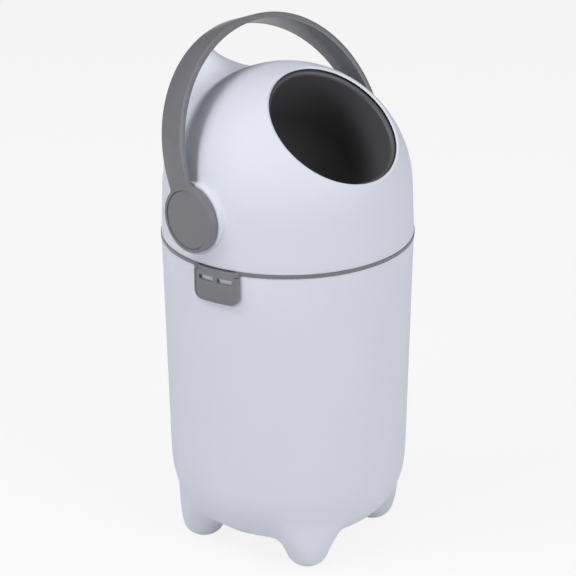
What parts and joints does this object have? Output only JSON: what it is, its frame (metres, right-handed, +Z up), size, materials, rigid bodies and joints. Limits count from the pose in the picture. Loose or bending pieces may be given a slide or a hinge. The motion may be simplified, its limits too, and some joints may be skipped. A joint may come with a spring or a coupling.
{
  "type": "nappy bin",
  "caption": "White nappy bin on moulded feet, with a hinged domed hood and a handle that turns a dark ball-shaped bowl over to drop a nappy into the bag below.",
  "frame": {"origin": "on the floor, under the middle of the round body", "axes": "+Z up; the opening faces -Y; the drum turns about an axis along X"},
  "size_m": [0.279, 0.2614, 0.5602],
  "materials": {
    "white_shell": "smooth satin moulding",
    "grey_plastic": "fine satin grain",
    "dark_plastic": "smooth satin",
    "soft_seal": "matt",
    "screw_steel": "zinc plated",
    "bush_plastic": "natural, smooth"
  },
  "bodies": {
    "base": {"bin_body": "white_shell", "bag_ring": "grey_plastic", "hinge_pin": "screw_steel"},
    "hood": {"hood_shell": "white_shell", "hood_ring": "grey_plastic", "ring_screws": "screw_steel", "opening_seal": "soft_seal", "lower_seal": "soft_seal", "pivot_bush_left": "bush_plastic", "pivot_bush_right": "bush_plastic", "latch_pins": "screw_steel"},
    "latch": {"latch_tab": "grey_plastic"},
    "drum": {"drum_bowl": "dark_plastic", "drum_back_shell": "dark_plastic", "drum_screws": "screw_steel", "hub_screws": "screw_steel", "drum_hub_left": "bush_plastic", "drum_hub_right": "bush_plastic", "handle": "grey_plastic", "hub_cap_left": "grey_plastic", "hub_cap_right": "grey_plastic", "handle_screw_left": "screw_steel", "handle_screw_right": "screw_steel"}
  },
  "joints": [
    {"name": "hood_hinge", "type": "hinge", "parent": "base", "child": "hood", "pos_m": [0.13209, 0.02928, 0.33985], "axis": [-0.2164, 0.9763, 0], "range_deg": [0, 100]},
    {"name": "drum_turn", "type": "hinge", "parent": "hood", "child": "drum", "pos_m": [0, 0, 0.388], "axis": [1, 0, 0], "range_deg": [0, 141]},
    {"name": "latch_pivot", "type": "hinge", "parent": "hood", "child": "latch", "pos_m": [-0.12735, -0.02823, 0.3389], "axis": [-0.2164, 0.9763, 0], "range_deg": [0, 35]}
  ]
}
